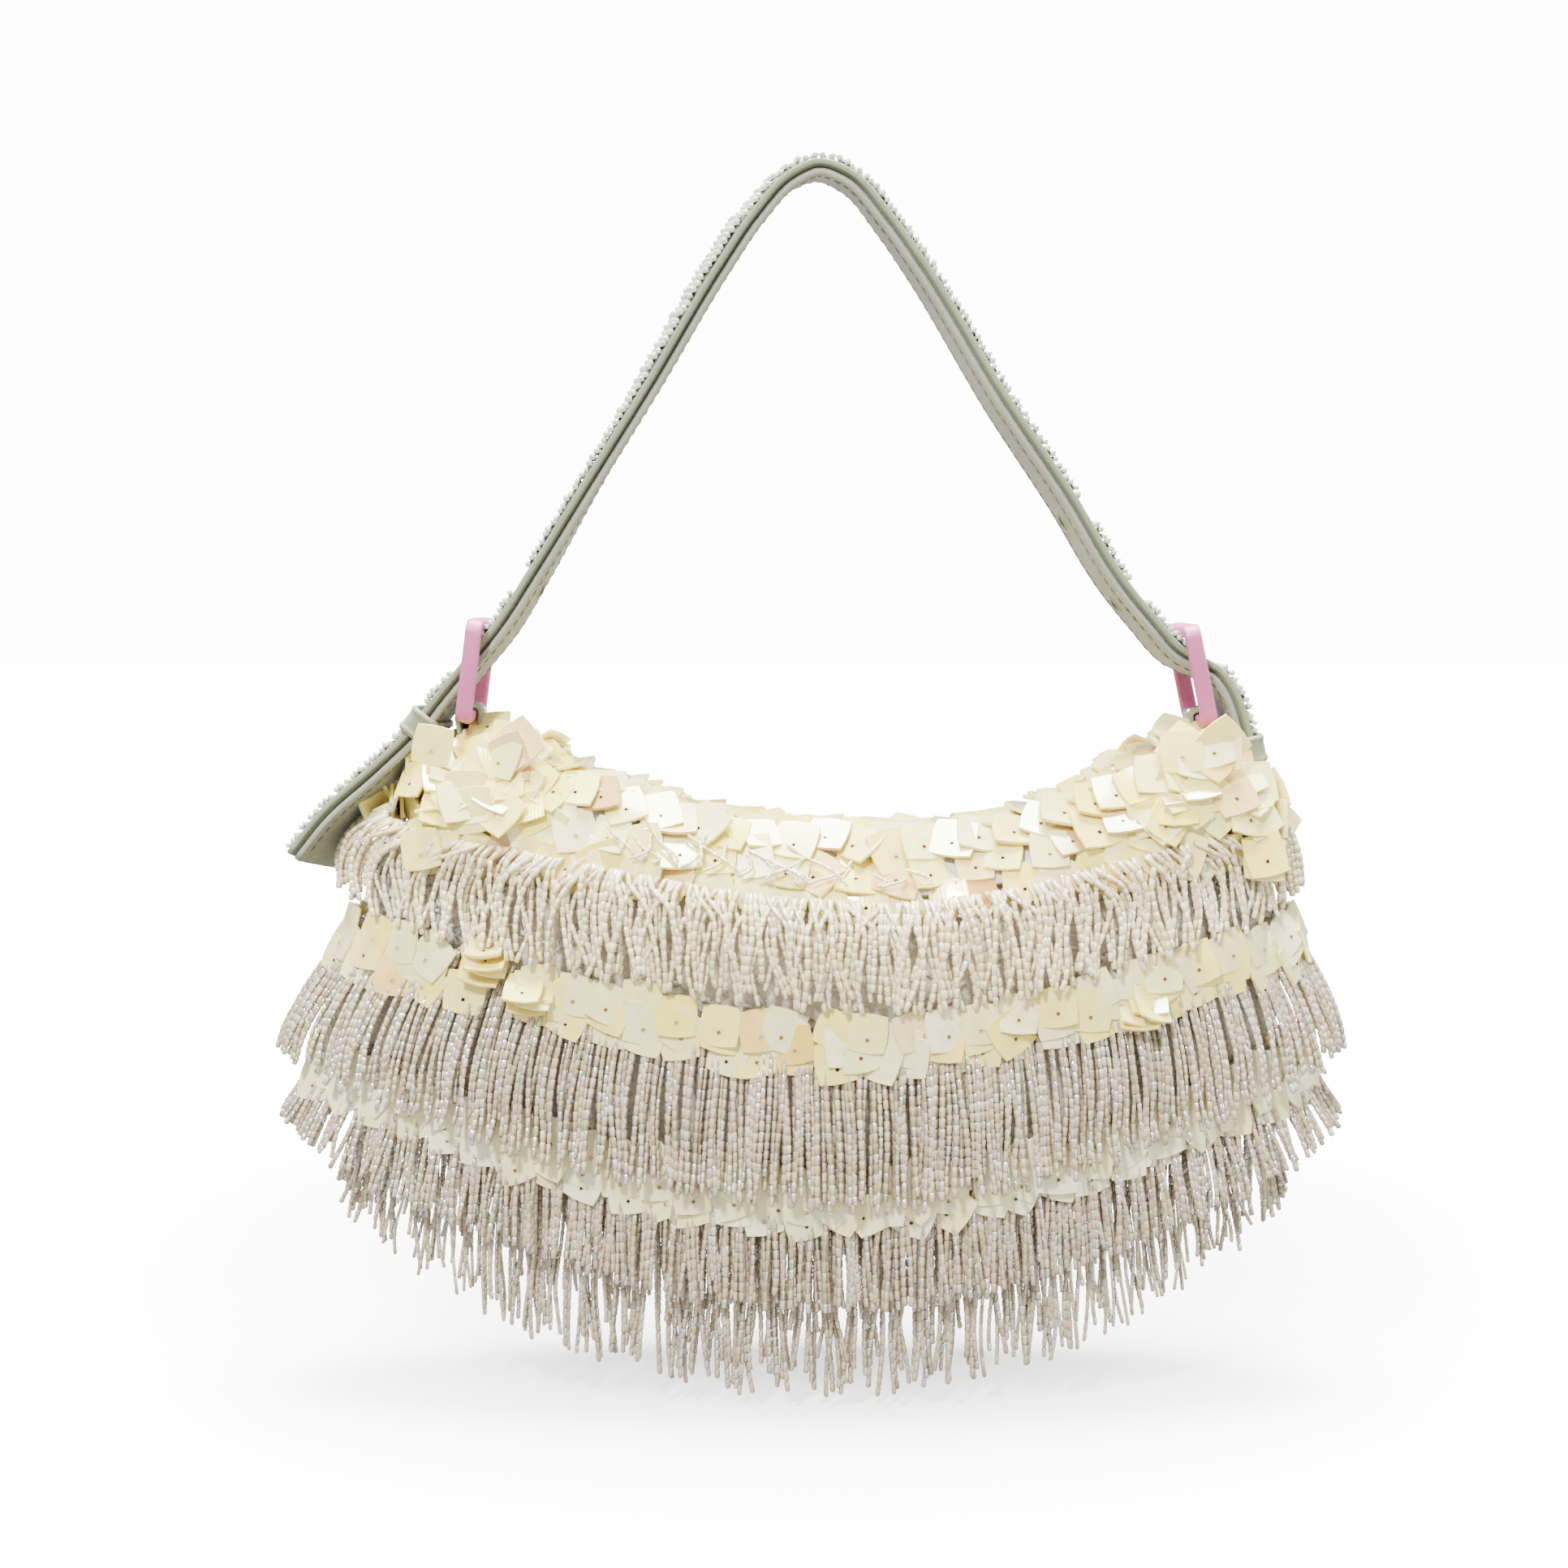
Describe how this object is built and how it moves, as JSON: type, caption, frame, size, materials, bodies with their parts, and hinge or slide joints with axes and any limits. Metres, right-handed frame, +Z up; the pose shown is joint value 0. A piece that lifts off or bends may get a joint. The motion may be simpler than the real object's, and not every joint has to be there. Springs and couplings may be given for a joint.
{
  "type": "baguette bag",
  "caption": "Crescent shoulder bag that hangs from a short beaded strap with side buckles, covered in tiers of beaded fringe and square shell plates.",
  "frame": {"origin": "underside of the strap at its top, where the bag hangs", "axes": "+Z up, +X to the right as the flap side is seen, -Y towards the viewer of the flap side"},
  "size_m": [0.3104, 0.083, 0.3561],
  "materials": {
    "satin": "sage green satin with a soft sheen",
    "enamel": "smooth pink enamel",
    "silver": "bright silver",
    "shell": "cream mother of pearl with a nacreous gloss",
    "glass_beads": "strings of small clear iridescent beads, warm grey",
    "beaded_cloth": "satin cloth sewn over with small beads"
  },
  "bodies": {
    "root": {"pouch": "beaded_cloth", "flap": "beaded_cloth", "shell_plates_top": "shell", "shell_plates_middle": "shell", "shell_plates_low": "shell", "fringe_flap": "glass_beads", "fringe_middle": "glass_beads", "fringe_lower": "glass_beads", "fringe_hem": "glass_beads", "strap_outer": "satin", "strap_lining": "satin", "keeper_left": "satin", "keeper_right": "satin", "tab_left": "satin", "tab_right": "satin", "buckle_left": "enamel", "buckle_right": "enamel", "prong_left": "silver", "prong_right": "silver"}
  },
  "joints": []
}
